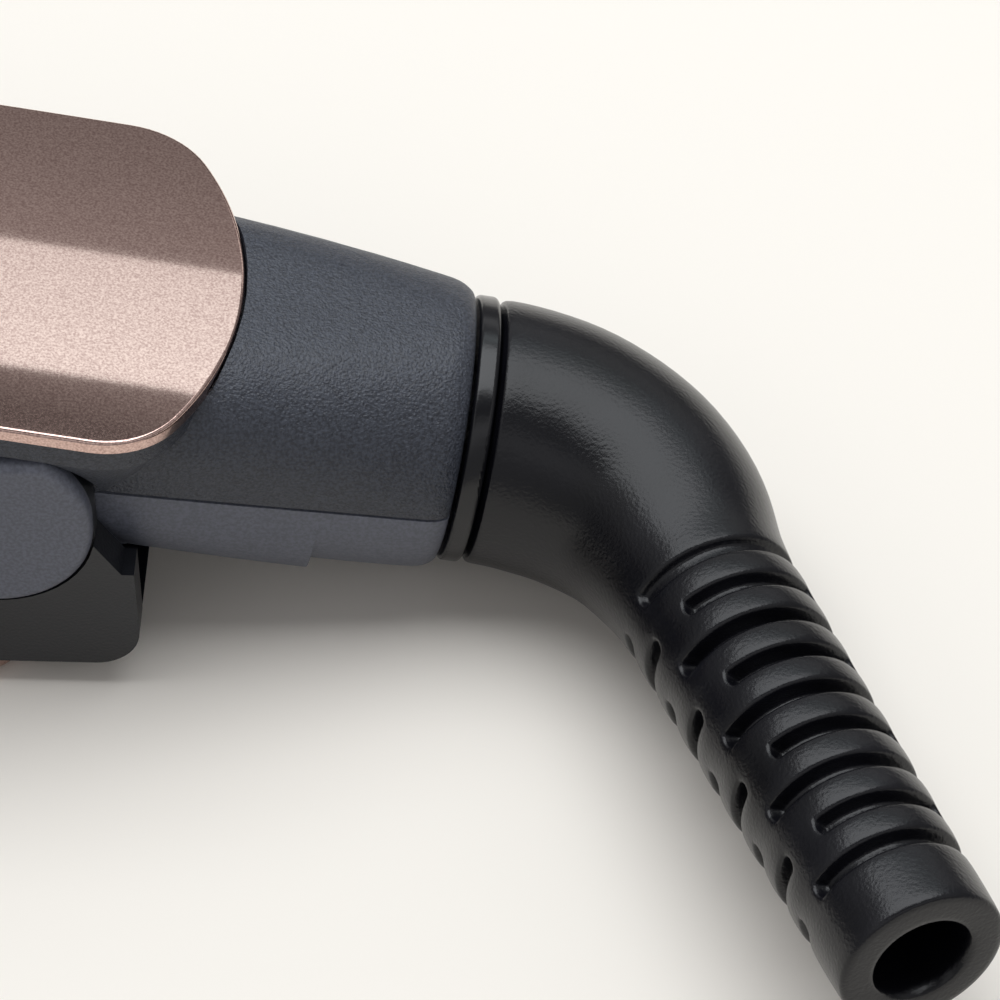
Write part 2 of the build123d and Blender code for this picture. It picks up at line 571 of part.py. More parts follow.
tail_heights = (ARM_DEPTH - TAIL_TOP, ARM_DEPTH - TAIL_FLOOR)
axis_height = -HINGE_ABOVE_CONTACT
with BuildPart() as lower_housing:
    slab(LOWER_ARM, (HANDLE_END - 1, TAIL_STATION), TAIL_HALF_WIDTH, tail_heights)
    corner = [
        edge for edge in lower_housing.edges()
        if abs(edge.center().X - TAIL_STATION) < 0.01 and edge.center().Z < TAIL_FLOOR + 0.1
    ]
    fillet(corner, TAIL_CORNER)
    extrude(round_strip(LOWER_ARM, tail_heights[1] - TAIL_CORNER, HANDLE_END - 1, LOWER_APEX, COVER_SHADOW),
            amount=COVER_SEAT - tail_heights[1] + TAIL_CORNER)
    add_tub(LOWER_ARM)
    for y in (-EAR_INNER, CAP_INNER):
        with BuildSketch(beside(HINGE, y)) as ear:
            Circle(EAR_RADIUS)
            with Locations((0, -EAR_RADIUS / 2)):
                Rectangle(2 * EAR_RADIUS, EAR_RADIUS)
            with Locations((0, EAR_TOP + EAR_RADIUS)):
                Rectangle(4 * EAR_RADIUS, 2 * EAR_RADIUS, mode=Mode.SUBTRACT)
        extrude(ear.sketch, amount=EAR_THICKNESS)
    for y in (-EAR_INNER, TAIL_HALF_WIDTH):
        with BuildSketch(beside(HINGE, y)) as web:
            tail_top = TAIL_TOP - HINGE_HEIGHT
            Polygon((0, tail_top), (0, -HINGE_ABOVE_CONTACT), (EAR_RADIUS, -HINGE_ABOVE_CONTACT + 1),
                    (TAIL_STATION - 0.9, tail_top), align=None)
        extrude(web.sketch, amount=TAIL_HALF_WIDTH - EAR_INNER)
    for y in (-CAP_INNER, ARM_HALF_WIDTH + 1):
        extrude(ear_outline(HINGE, y, FIT), amount=ARM_HALF_WIDTH + 1 - CAP_INNER, mode=Mode.SUBTRACT)
    above_deck = (-EAR_RADIUS * 2, ARM_DEPTH - TAIL_DECK)
    slab(LOWER_ARM, (-1, 2 * TAIL_STATION), EAR_INNER, above_deck, mode=Mode.SUBTRACT)
    axle(LOWER_ARM, KNUCKLE_RADIUS + KNUCKLE_GAP, EAR_INNER, mode=Mode.SUBTRACT, height=axis_height)
    axle(LOWER_ARM, PIN_RADIUS + PIN_RUNNING, 2 * FLANK, mode=Mode.SUBTRACT, height=axis_height)
    panel_window = (PANEL_FRONT - FIT, PANEL_REAR + FIT)
    slab(LOWER_ARM, panel_window, PANEL_HALF_WIDTH + FIT, (0, FLOOR + 1), mode=Mode.SUBTRACT)
    for station in (PANEL_FRONT - 3, PANEL_REAR + 3):
        for side in (-PANEL_HALF_WIDTH, PANEL_HALF_WIDTH):
            post(LOWER_ARM, station, side, BOARD_POST_RADIUS, (FLOOR, BOARD_HEIGHT))
save(lower_housing.part, "lower_housing")

for name, y in (("hinge_cap_right", -CAP_INNER), ("hinge_cap_left", ARM_HALF_WIDTH)):
    with BuildPart() as cap:
        extrude(ear_outline(HINGE, y), amount=ARM_HALF_WIDTH - CAP_INNER)
        outer = cap.faces().sort_by(Axis.Y)[0 if y < 0 else -1]
        fillet(outer.edges(), CAP_EDGE)
    save(cap.part, name)

# Pieces that both arms share

for frame, apex, prefix in ((UPPER_ARM, UPPER_APEX, "upper"), (LOWER_ARM, LOWER_APEX, "lower")):
    save(make_cover(frame, apex), f"{prefix}_cover")
    save(make_tip(frame), f"{prefix}_cool_tip")
    save(make_plate(frame), f"{prefix}_heating_plate")
    save(make_heater(frame), f"{prefix}_heater")
    save(make_sensor(frame), f"{prefix}_sensor")
    save(make_carrier(frame), f"{prefix}_plate_carrier")
    save(make_plate_springs(frame), f"{prefix}_plate_springs")
    save(make_cover_screws(frame), f"{prefix}_cover_screws")

# Leads from each heater: to the board in the lower arm, and over the hinge pin to the brushes

lead_height = PLATE_BACK + PLATE_TRAVEL + LEAD_CLEARANCE + LEAD_RADIUS
board_middle = BOARD_HEIGHT + BOARD_THICKNESS / 2
lower_route = [
    (HEATER_END, LEAD_SIDE, lead_height), (PLATE_REAR + 8, LEAD_SIDE, lead_height),
    (COVER_SCREWS[0] + 2, LEAD_SIDE, board_middle), (PANEL_FRONT - BOARD_OVERHANG, LEAD_SIDE, board_middle),
]
upper_route = [
    (HEATER_END, LEAD_SIDE, lead_height), (COVER_SCREWS[1] - 6, LEAD_SIDE, lead_height),
    (COVER_SCREWS[1] + 6, LEAD_SIDE, HINGE_LEAD_HEIGHT), (-6.0, HINGE_LEAD_SIDE, HINGE_LEAD_HEIGHT),
    (13.5, HINGE_LEAD_SIDE, HINGE_LEAD_HEIGHT), (13.5, HINGE_LEAD_SIDE, -2.0), (16.8, HINGE_LEAD_SIDE, -2.0),
]
save(make_leads(LOWER_ARM, lower_route), "lower_leads")
save(make_leads(UPPER_ARM, upper_route), "upper_leads")

# Hinge pin and spring

with BuildPart() as hinge_pin:
    axle(BODY, PIN_RADIUS, CAP_INNER - FIT)
save(hinge_pin.part, "hinge_pin")

with BuildPart() as hinge_spring:
    axle(BODY, PIN_RADIUS + 1.6, 6.0)
    axle(BODY, PIN_RADIUS + 0.1, 7.0, mode=Mode.SUBTRACT)
save(hinge_spring.part, "hinge_spring")

# Controls in the lower arm

with BuildPart() as control_panel:
    slab(LOWER_ARM, (PANEL_FRONT, PANEL_REAR), PANEL_HALF_WIDTH, (HANDLE_RECESS, FLOOR))
    slab(LOWER_ARM, (PANEL_FRONT - PANEL_FLANGE, PANEL_REAR + PANEL_FLANGE), PANEL_HALF_WIDTH + PANEL_FLANGE,
         (FLOOR, PANEL_BACK))
    for station in BUTTONS.values():
        post(LOWER_ARM, station, 0, BUTTON_RADIUS + FIT, (0, PANEL_BACK + 1), mode=Mode.SUBTRACT)
    for y in LENS_SIDES:
        post(LOWER_ARM, LENS_STATION, y, LENS_RADIUS + 0.02, (0, PANEL_BACK + 1), mode=Mode.SUBTRACT)
save(control_panel.part, "control_panel")

for name, station in BUTTONS.items():
    with BuildPart() as button:
        flange = PANEL_BACK + 0.1
        post(LOWER_ARM, station, 0, BUTTON_RADIUS, (HANDLE_RECESS - BUTTON_PROUD, flange))
        button_face = ARM_DEPTH - HANDLE_RECESS + BUTTON_PROUD
        fillet([edge for edge in button.edges() if edge.center().Z > button_face - 0.05], BUTTON_EDGE)
        post(LOWER_ARM, station, 0, BUTTON_RADIUS + BUTTON_FLANGE, (flange, flange + BUTTON_FLANGE_HEIGHT))
        plunger_end = BOARD_HEIGHT - SWITCH_HEIGHT - BUTTON_TRAVEL - 0.1
        post(LOWER_ARM, station, 0, PLUNGER_RADIUS, (flange, plunger_end))
    save(button.part, name)

with BuildPart() as indicator_lenses:
    for y in LENS_SIDES:
        post(LOWER_ARM, LENS_STATION, y, LENS_RADIUS, (HANDLE_RECESS - 0.05, BOARD_HEIGHT))
save(indicator_lenses.part, "indicator_lenses")

with BuildPart() as control_board:
    slab(LOWER_ARM, (PANEL_FRONT - BOARD_OVERHANG, PANEL_REAR + BOARD_OVERHANG), BOARD_HALF_WIDTH,
         (BOARD_HEIGHT, BOARD_HEIGHT + BOARD_THICKNESS))
save(control_board.part, "control_board")

with BuildPart() as switches:
    for station in BUTTONS.values():
        slab(LOWER_ARM, (station - SWITCH_HALF_WIDTH, station + SWITCH_HALF_WIDTH), SWITCH_HALF_WIDTH,
             (BOARD_HEIGHT - SWITCH_HEIGHT, BOARD_HEIGHT))
save(switches.part, "switches")

# Swivel: everything here turns about the body axis

SWIVEL = across(BODY, REAR_LENGTH)
roll = radians(RELIEF_ROLL)
bend_direction = SWIVEL.x_dir * -cos(roll) + SWIVEL.y_dir * sin(roll)
RELIEF = Plane(origin=SWIVEL.origin, x_dir=bend_direction, z_dir=SWIVEL.z_dir)
elbow_start = COLLAR_GAP + COLLAR_LENGTH + GROOVE_LENGTH


def along_elbow(angle):
    """Plane square to the elbow's centre line after a turn of this many degrees."""
    turn = radians(angle)
    centre = (ELBOW_RADIUS * (1 - cos(turn)), 0, elbow_start + ELBOW_RADIUS * sin(turn))
    forward = SWIVEL.z_dir * cos(turn) + bend_direction * sin(turn)
    return Plane(origin=RELIEF.from_local_coords(centre), x_dir=RELIEF.y_dir, z_dir=forward)


elbow_end = along_elbow(ELBOW_ANGLE)
NECK = elbow_end.offset(ELBOW_RUN)
spindle_socket = elbow_start + SOCKET_DEPTH

with BuildPart(SWIVEL) as swivel_spindle:
    with Locations((0, 0, (spindle_socket - SPINDLE_FRONT) / 2)):
        Cylinder(SPINDLE_RADIUS, SPINDLE_FRONT + spindle_socket)
    with Locations((0, 0, (spindle_socket - REAR_WALL) / 2)):
        Cylinder(SPINDLE_BEARING, REAR_WALL + spindle_socket)
    with Locations((0, 0, spindle_socket / 2)):
        Cylinder(CORD_RADIUS - PASSAGE_STEP, spindle_socket + 4, mode=Mode.SUBTRACT)
save(swivel_spindle.part, "swivel_spindle")

clip_station = -REAR_WALL - FIT - CLIP_THICKNESS / 2
with BuildPart(SWIVEL) as spindle_clip:
    with Locations((0, 0, clip_station)):
        Cylinder(CLIP_RADIUS, CLIP_THICKNESS)
        Cylinder(SPINDLE_RADIUS, CLIP_THICKNESS, mode=Mode.SUBTRACT)
    with Locations((0, CLIP_RADIUS, clip_station)):
        Box(CLIP_MOUTH, 2 * (CLIP_RADIUS - 2), 2 * CLIP_THICKNESS, mode=Mode.SUBTRACT)
save(spindle_clip.part, "spindle_clip")

with BuildPart(SWIVEL) as slip_rings:
    for station in RING_STATIONS:
        with Locations((0, 0, station)):
            Cylinder(SPINDLE_RADIUS + RING_THICKNESS, RING_LENGTH)
            Cylinder(SPINDLE_RADIUS, RING_LENGTH, mode=Mode.SUBTRACT)
save(slip_rings.part, "slip_rings")

with BuildPart(SWIVEL) as contact_brushes:
    for station in RING_STATIONS:
        with Locations((0, BRUSH_HEIGHT / 2 - BRUSH_FOOT, station)):
            Box(3.0, BRUSH_HEIGHT, BRUSH_LENGTH)
save(contact_brushes.part, "contact_brushes")

with BuildPart(SWIVEL) as brush_holder:
    with Locations((0, -BRUSH_FOOT - HOLDER_THICKNESS / 2, sum(RING_STATIONS) / 2)):
        Box(5.0, HOLDER_THICKNESS, 7.4)
save(brush_holder.part, "brush_holder")

with BuildPart(SWIVEL) as swivel_collar:
    with Locations((0, 0, COLLAR_GAP + COLLAR_LENGTH / 2)):
        Cylinder(COLLAR_RADIUS, COLLAR_LENGTH)
        fillet(swivel_collar.edges().filter_by(GeomType.CIRCLE), 0.4)
        Cylinder(SPINDLE_BEARING, 2 * COLLAR_LENGTH, mode=Mode.SUBTRACT)
save(swivel_collar.part, "swivel_collar")

with BuildPart() as strain_relief:
    with BuildSketch(SWIVEL.offset(elbow_start - GROOVE_LENGTH)):
        Circle(GROOVE_RADIUS)
    extrude(amount=GROOVE_LENGTH)
    rings = (
        (along_elbow(0), COLLAR_RADIUS),
        (along_elbow(ELBOW_ANGLE / 3), COLLAR_RADIUS - 0.2),
        (along_elbow(ELBOW_ANGLE * 2 / 3), COLLAR_RADIUS - 0.9),
        (elbow_end, COLLAR_RADIUS - 1.9),
        (NECK, NECK_RADIUS),
    )
    for plane, radius in rings:
        with BuildSketch(plane):
            Circle(radius)
    loft()
    with BuildSketch(NECK):
        Circle(NECK_RADIUS - NECK_STEP)
    with BuildSketch(NECK.offset(RIB_LENGTH)):
        Circle(RIB_END_RADIUS)
    loft()
    for slot in range(int((RIB_LENGTH - 2 * SLOT_START) / RIB_PITCH)):
        slot_floor = CORE_RADIUS + max(0.0, SHALLOW_START - SHALLOW_STEP * slot)
        with BuildSketch(NECK.offset(SLOT_START + slot * RIB_PITCH)) as slots:
            Circle(NECK_RADIUS + 1)
            Circle(slot_floor, mode=Mode.SUBTRACT)
            for turn in WEB_TURNS[slot % len(WEB_TURNS)]:
                with Locations(Rotation(0, 0, turn)):
                    with Locations((-NECK_RADIUS, 0)):
                        Rectangle(2 * NECK_RADIUS, WEB_WIDTH, mode=Mode.SUBTRACT)
        extrude(slots.sketch, amount=SLOT_WIDTH, mode=Mode.SUBTRACT)
    with BuildSketch(NECK.offset(RIB_LENGTH)) as bore:
        Circle(CORD_RADIUS)
    extrude(bore.sketch, amount=-RIB_LENGTH - ELBOW_RUN, mode=Mode.SUBTRACT)
    with BuildLine() as centre_line:
        Line(NECK.origin, elbow_end.origin)
        ThreePointArc(elbow_end.origin, along_elbow(ELBOW_ANGLE / 2).origin, along_elbow(0).origin)
    with BuildSketch(Plane(origin=NECK.origin, z_dir=-NECK.z_dir)) as passage:
        Circle(CORD_RADIUS - PASSAGE_STEP)
    sweep(passage.sketch, centre_line.line, mode=Mode.SUBTRACT)
    with BuildSketch(SWIVEL.offset(elbow_start - 2 * GROOVE_LENGTH)) as socket:
        Circle(SPINDLE_BEARING)
    extrude(socket.sketch, amount=spindle_socket - elbow_start + 2 * GROOVE_LENGTH, mode=Mode.SUBTRACT)
save(strain_relief.part, "strain_relief")
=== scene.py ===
import json
from math import atan2, cos, degrees, radians, sin, sqrt, tau

import bmesh
import bpy
from mathutils import Matrix, Vector


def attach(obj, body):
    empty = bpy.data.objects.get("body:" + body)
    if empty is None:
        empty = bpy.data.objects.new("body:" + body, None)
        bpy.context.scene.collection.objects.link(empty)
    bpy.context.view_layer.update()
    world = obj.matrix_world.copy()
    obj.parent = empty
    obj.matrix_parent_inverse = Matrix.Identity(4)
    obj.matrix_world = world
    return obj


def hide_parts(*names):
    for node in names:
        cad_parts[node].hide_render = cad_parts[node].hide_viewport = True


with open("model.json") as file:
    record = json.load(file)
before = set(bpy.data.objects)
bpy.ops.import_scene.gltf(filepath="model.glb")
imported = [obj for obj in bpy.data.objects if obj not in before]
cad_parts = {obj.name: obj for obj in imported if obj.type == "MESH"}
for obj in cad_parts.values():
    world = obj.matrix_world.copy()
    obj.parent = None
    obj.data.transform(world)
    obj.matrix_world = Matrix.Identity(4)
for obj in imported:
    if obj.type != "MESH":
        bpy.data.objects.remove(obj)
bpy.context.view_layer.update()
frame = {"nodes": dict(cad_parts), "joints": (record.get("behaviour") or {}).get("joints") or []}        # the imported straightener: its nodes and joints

# Frames, from the imported model's joints, and sizes, in metres

MM = 0.001
JOINTS = {joint["name"]: joint for joint in frame["joints"]}
HINGE = Vector(JOINTS["arm_hinge"]["pos_m"])
ALONG = Vector(JOINTS["cord_swivel"]["axis"]).normalized()
OUTWARD = Vector(JOINTS["upper_plate_float"]["axis"]).normalized()
LEFT = Vector((0, 1, 0))
SWIVEL = Vector(JOINTS["cord_swivel"]["pos_m"])
HINGE_ABOVE_CONTACT = 3.7 * MM  # from the plane where the plates meet up to the hinge axis
ARM_DEPTH = 14.3 * MM  # from that plane to the outer face of a cover


def frame_matrix(origin, x_axis, y_axis, z_axis):
    """Matrix that takes a point of a local frame to the model's frame."""
    return Matrix.Translation(origin) @ Matrix((x_axis, y_axis, z_axis)).transposed().to_4x4()


BODY = frame_matrix(HINGE, ALONG, LEFT, OUTWARD)
UPPER_ARM = BODY @ Matrix.Translation((0, 0, -HINGE_ABOVE_CONTACT))
LOWER_ARM = frame_matrix(Vector((0, 0, ARM_DEPTH)), Vector((1, 0, 0)), -LEFT, Vector((0, 0, -1)))

# Camera: it looks at the hinge end from the right side and above, as the photograph does

CAMERA_AZIMUTH = 1.8
CAMERA_ELEVATION = 47.3
CAMERA_DISTANCE = 0.32
CAMERA_LENS = 154.2
CAMERA_CLIP = 0.01
AIM = Vector((0.03638, -0.00396, 0.00819))


def make_camera():
    azimuth = radians(CAMERA_AZIMUTH)
    elevation = radians(CAMERA_ELEVATION)
    back = Vector((sin(azimuth) * cos(elevation), -cos(azimuth) * cos(elevation), sin(elevation)))
    data = bpy.data.cameras.new("camera")
    data.lens = CAMERA_LENS
    data.clip_start = CAMERA_CLIP
    camera = bpy.data.objects.new("camera", data)
    camera.location = AIM + back * CAMERA_DISTANCE
    camera.rotation_mode = "QUATERNION"
    camera.rotation_quaternion = (-back).to_track_quat("-Z", "Y")
    bpy.context.scene.collection.objects.link(camera)
    bpy.context.scene.camera = camera


make_camera()

# Light and floor

PALE_FLOOR = "#F8F2E9"
GREY_FLOOR = "#8C8A88"
FLOOR_SIZE = 6.0
FLOOR_ROUGHNESS = 0.9
# How bright the room is at each height, from the horizon (0) to overhead (1), its two ends first
ROOM_LIGHT = (
    (0.0, 0.40), (1.0, 0.45),
    (0.40, 0.44), (0.60, 0.76), (0.68, 0.95), (0.775, 0.62), (0.825, 0.08),
)
ROOM_BLUE = 1.02  # the room's blue against its red and green
ROOM_FRONT, ROOM_BACK = 0.95, 0.35  # the room is brighter on the camera's side than behind
OVERHEAD_SOFTBOX = {
    "target": (0, 0, 0), "direction": (-0.02, 0.19, 1), "distance": 0.8,
    "width": 1.0, "height": 0.66, "radiance": 3.1, "tint": (0.94, 0.97, 1.0),
}
BACK_SOFTBOX = {
    "target": (0, 0, 0), "direction": (0.05, 0.888, 0.458), "distance": 0.9,
    "width": 1.2, "height": 0.18, "radiance": 0.6,
}
# The upper cover mirrors this light as the bright band that runs along it
COVER_STRIP_LIGHT = {
    "target": (-0.005, -0.004, 0.032), "direction": (0.1396, 0.6757, 0.7239), "distance": 0.7,
    "width": 0.7, "height": 0.106, "radiance": 1.1, "tint": (0.84, 0.97, 1.0), "across": ALONG,
}
STRIP_NEAR, STRIP_FAR = 1.25, 0.85  # its glow at the band's near edge and at the far one


def linear(hex_colour):
    """Linear red, green, blue and 1 for an sRGB hex colour."""
    channels = [int(hex_colour[i:i + 2], 16) / 255 for i in (1, 3, 5)]
    # The transfer curve of sRGB
    return [c / 12.92 if c <= 0.04045 else ((c + 0.055) / 1.055) ** 2.4 for c in channels] + [1.0]


def add_node(material, kind, links=(), **settings):
    """Adds a node with its settings. A link is (socket of the new node, output of another)."""
    node = material.node_tree.nodes.new(kind)
    for name, value in settings.items():
        if hasattr(node, name) and name not in node.inputs:
            setattr(node, name, value)
        else:
            node.inputs[name.replace("_", " ")].default_value = value
    for socket, output in links:
        link(material, output, node, socket)
    return node


def link(material, output, node, socket):
    material.node_tree.links.new(output, node.inputs[socket])


def add_area_light(name, target, direction, distance, width, height, radiance,
                   tint=(1, 1, 1), across=(1, 0, 0)):
    """Rectangular soft light that faces the target; its width lies along the across direction."""
    data = bpy.data.lights.new(name, "AREA")
    data.shape = "RECTANGLE"
    data.size = width
    data.size_y = height
    # A flat lamp's power is its radiance times its area times pi
    data.energy = radiance * width * height * tau / 2
    data.color = tint
    light = bpy.data.objects.new(name, data)
    z_axis = Vector(direction).normalized()
    y_axis = z_axis.cross(Vector(across)).normalized()
    place = Vector(target) + z_axis * distance
    light.matrix_world = frame_matrix(place, y_axis.cross(z_axis), y_axis, z_axis)
    bpy.context.scene.collection.objects.link(light)
    return light


def make_room():
    """World that is dim at the horizon and bright high up, with a dark ring below its top."""
    world = bpy.data.worlds.new("soft_room")
    world.use_nodes = True
    background = world.node_tree.nodes["Background"]
    place = add_node(world, "ShaderNodeTexCoord")
    axes = add_node(world, "ShaderNodeSeparateXYZ", [("Vector", place.outputs["Generated"])])
    ramp = add_node(world, "ShaderNodeValToRGB", [("Fac", axes.outputs["Z"])])
    for index, (height, level) in enumerate(ROOM_LIGHT):
        stops = ramp.color_ramp.elements
        stop = stops[index] if index < 2 else stops.new(height)
        stop.position = height
        stop.color = (level, level, level * ROOM_BLUE, 1.0)
    side = add_node(world, "ShaderNodeMapRange", [("Value", axes.outputs["Y"])],
                    From_Min=-1.0, From_Max=1.0, To_Min=ROOM_FRONT, To_Max=ROOM_BACK)
    link(world, ramp.outputs["Color"], background, "Color")
    link(world, side.outputs["Result"], background, "Strength")
    bpy.context.scene.world = world


def make_floor():
    bpy.ops.mesh.primitive_plane_add(size=FLOOR_SIZE)
    floor = bpy.context.object
    floor.name = "floor"
    material = bpy.data.materials.new("pale_paper_floor")
    material.use_nodes = True
    shader = material.node_tree.nodes["Principled BSDF"]
    shader.inputs["Roughness"].default_value = FLOOR_ROUGHNESS
    # Camera, mirror and clear rays see pale paper; other rays meet a greyer one, so less light
    # comes back from it.
    rays = add_node(material, "ShaderNodeLightPath")
    seen = add_node(material, "ShaderNodeMath", operation="ADD")
    shown = add_node(material, "ShaderNodeMath", operation="ADD", use_clamp=True)
    link(material, rays.outputs["Is Camera Ray"], seen, 0)
    link(material, rays.outputs["Is Glossy Ray"], seen, 1)
    link(material, seen.outputs["Value"], shown, 0)
    link(material, rays.outputs["Is Transmission Ray"], shown, 1)
    paper = add_node(material, "ShaderNodeMix", [("Factor", shown.outputs["Value"])],
                     data_type="RGBA")
    # The colour sockets of the Mix node: 6 and 7 in, 2 out
    paper.inputs[6].default_value = linear(GREY_FLOOR)
    paper.inputs[7].default_value = linear(PALE_FLOOR)
    link(material, paper.outputs[2], shader, "Base Color")
    floor.data.materials.append(material)


def make_lights():
    add_area_light("overhead_softbox", **OVERHEAD_SOFTBOX)
    add_area_light("back_softbox", **BACK_SOFTBOX)
    strip = add_area_light("cover_strip_light", **COVER_STRIP_LIGHT).data
    strip.use_nodes = True
    glow = strip.node_tree.nodes["Emission"]
    surface = add_node(strip, "ShaderNodeNewGeometry")
    rows = add_node(strip, "ShaderNodeSeparateXYZ", [("Vector", surface.outputs["Parametric"])])
    level = add_node(strip, "ShaderNodeMapRange", [("Value", rows.outputs["Y"])],
                     To_Min=STRIP_NEAR, To_Max=STRIP_FAR)
    link(strip, level.outputs["Result"], glow, "Strength")


bpy.context.scene.view_settings.view_transform = "Standard"
make_room()
make_floor()
make_lights()

# Materials


def new_material(name, colour, roughness, **settings):
    """Principled material; returns it with its shader and its Object coordinates."""
    material = bpy.data.materials.new(name)
    material.use_nodes = True
    shader = material.node_tree.nodes["Principled BSDF"]
    shader.inputs["Base Color"].default_value = linear(colour)
    shader.inputs["Roughness"].default_value = roughness
    for socket, value in settings.items():
        shader.inputs[socket.replace("_", " ")].default_value = value
    place = add_node(material, "ShaderNodeTexCoord").outputs["Object"]
    return material, shader, place


def grain(material, shader, place, size, depth, detail=2.0):
    """Moulded grain: a bump whose grains are of this size and depth, in metres."""
    noise = add_node(material, "ShaderNodeTexNoise", [("Vector", place)],
                     Scale=1.0 / size, Detail=detail)
    bump = add_node(material, "ShaderNodeBump", [("Height", noise.outputs["Fac"])],
                    Distance=depth, Strength=1.0)
    link(material, bump.outputs["Normal"], shader, "Normal")


def mottle(material, shader, place, colour_a, colour_b, size, low=0.35, high=0.65, detail=3.0):
    """Base colour that wanders between two colours over this distance; returns its noise."""
    noise = add_node(material, "ShaderNodeTexNoise", [("Vector", place)],
                     Scale=0.5 / size, Detail=detail)
    ramp = add_node(material, "ShaderNodeValToRGB", [("Fac", noise.outputs["Fac"])])
    dark, pale = ramp.color_ramp.elements
    dark.position, dark.color = low, linear(colour_a)
    pale.position, pale.color = high, linear(colour_b)
    link(material, ramp.outputs["Color"], shader, "Base Color")
    return noise


def grained_grey_abs():
    # Moulded ABS from a spark-eroded tool: matt, with fine even pits of about 0.2 mm that speckle
    # it light and dark.
    material, shader, place = new_material("grained_grey_abs", "#32353F", 0.46, IOR=1.53)
    mottle(material, shader, place, "#262932", "#3E424C", 0.12 * MM, low=0.38, high=0.62)
    grain(material, shader, place, 0.20 * MM, 0.11 * MM, detail=1.5)
    return material


def smooth_grey_abs_painted_light():
    # The same ABS from a finely blasted tool: an even satin with a faint speckle. It is paler than
    # the housing as painted light, for the light that falls on the strip and the hinge caps.
    material, shader, place = new_material("smooth_grey_abs_painted_light", "#656874", 0.40, IOR=1.53)
    mottle(material, shader, place, "#5C5F6A", "#6E717D", 0.14 * MM, low=0.38, high=0.62)
    grain(material, shader, place, 0.16 * MM, 0.02 * MM)
    return material


def black_abs():
    # Black ABS from a lightly blasted tool: dark, with a soft gloss.
    material, shader, place = new_material("black_abs", "#0C0E14", 0.40, IOR=1.50)
    mottle(material, shader, place, "#090B10", "#101219", 5 * MM)
    grain(material, shader, place, 0.25 * MM, 0.03 * MM)
    return material


def black_elastomer():
    # Injection-moulded thermoplastic elastomer: black, glossy, with a fine leathery grain.
    material, shader, place = new_material("black_elastomer", "#0B0B0F", 0.27,
                                           IOR=1.50, Specular_IOR_Level=0.36)
    mottle(material, shader, place, "#08080C", "#101015", 4 * MM)
    grain(material, shader, place, 0.28 * MM, 0.03 * MM)
    return material


def polished_black_abs():
    # Black ABS from a polished tool: clear, slightly soft reflections.
    material, shader, place = new_material("polished_black_abs", "#0C0C10", 0.20,
                                           IOR=1.53, Specular_IOR_Level=0.4)
    mottle(material, shader, place, "#09090D", "#111115", 4 * MM)
    grain(material, shader, place, 0.4 * MM, 0.008 * MM)
    return material


def bronze_flake_lacquer():
    # Warm metallic lacquer, polished: it mirrors the room in bronze, and its flakes, of about
    # 0.2 mm, glint unevenly.
    material, shader, place = new_material("bronze_flake_lacquer", "#C8A89D", 0.045, Metallic=1.0)
    flakes = mottle(material, shader, place, "#B0928A", "#DABDB2", 0.085 * MM,
                    low=0.32, high=0.68, detail=1.5)
    bump = add_node(material, "ShaderNodeBump", [("Height", flakes.outputs["Fac"])],
                    Distance=0.00015 * MM, Strength=1.0)
    link(material, bump.outputs["Normal"], shader, "Normal")
    return material


def glazed_plate():
    # Aluminium plate with a hard glazed ceramic coat: a warm grey, with fine lengthwise polish
    # marks, about 20 mm long and 0.3 mm wide, in which the gloss changes.
    material, shader, place = new_material("glazed_plate", "#7C7370", 0.2, Metallic=0.85)
    stretch = add_node(material, "ShaderNodeMapping", [("Vector", place)],
                       Scale=(12.0, 900.0, 60.0))
    marks = add_node(material, "ShaderNodeTexNoise", [("Vector", stretch.outputs["Vector"])],
                     Scale=4.0, Detail=4.0)
    rough = add_node(material, "ShaderNodeMapRange", [("Value", marks.outputs["Fac"])],
                     To_Min=0.14, To_Max=0.3)
    link(material, rough.outputs["Result"], shader, "Roughness")
    return material


def moulded(name, colour_a, colour_b, roughness, size=2 * MM, depth=0.01 * MM, **settings):
    """A moulded or dipped small part: two near colours and a faint grain."""
    material, shader, place = new_material(name, colour_a, roughness, **settings)
    mottle(material, shader, place, colour_a, colour_b, size)
    grain(material, shader, place, size / 8, depth)
    return material


def drawn_metal(name, colour_a, colour_b, roughness, pitch):
    """A turned or drawn metal: two near colours, and fine rings that blur the gleam unevenly."""
    material, shader, place = new_material(name, colour_a, roughness, Metallic=1.0)
    mottle(material, shader, place, colour_a, colour_b, 1.5 * MM)
    marks = add_node(material, "ShaderNodeTexWave", [("Vector", place)],
                     Scale=0.05 / pitch, Distortion=2.0, Detail=2.0)
    rough = add_node(material, "ShaderNodeMapRange", [("Value", marks.outputs["Fac"])],
                     To_Min=roughness * 0.8, To_Max=roughness * 1.25)
    link(material, rough.outputs["Result"], shader, "Roughness")
    return material


def solder_masked_board():
    # Glass-cloth epoxy board under green solder mask: the cloth's weave, of 0.5 mm, shows faintly
    # through it.
    material, shader, place = new_material("solder_masked_board", "#1C4A33", 0.35)
    weave = add_node(material, "ShaderNodeTexChecker", [("Vector", place)],
                     Scale=1 / (0.5 * MM), Color1=linear("#1A4530"), Color2=linear("#205239"))
    link(material, weave.outputs["Color"], shader, "Base Color")
    grain(material, shader, place, 0.5 * MM, 0.01 * MM)
    return material


GREY_GRAINED = grained_grey_abs()
GREY_SMOOTH_PAINTED_LIT = smooth_grey_abs_painted_light()
BLACK = black_abs()
ELASTOMER = black_elastomer()
POLISHED = polished_black_abs()
LACQUER = bronze_flake_lacquer()
PLATE = glazed_plate()
BOARD = solder_masked_board()
# Zinc-plated screws: bright, with a faint blotch.
SCREW_STEEL = drawn_metal("zinc_plated_steel", "#AEB0B1", "#C3C4C2", 0.28, 0.15 * MM)
# Oil-tempered spring wire and strip: grey, drawn.
SPRING_STEEL = drawn_metal("oil_tempered_spring_steel", "#8C8B8A", "#A2A1A0", 0.34, 0.1 * MM)
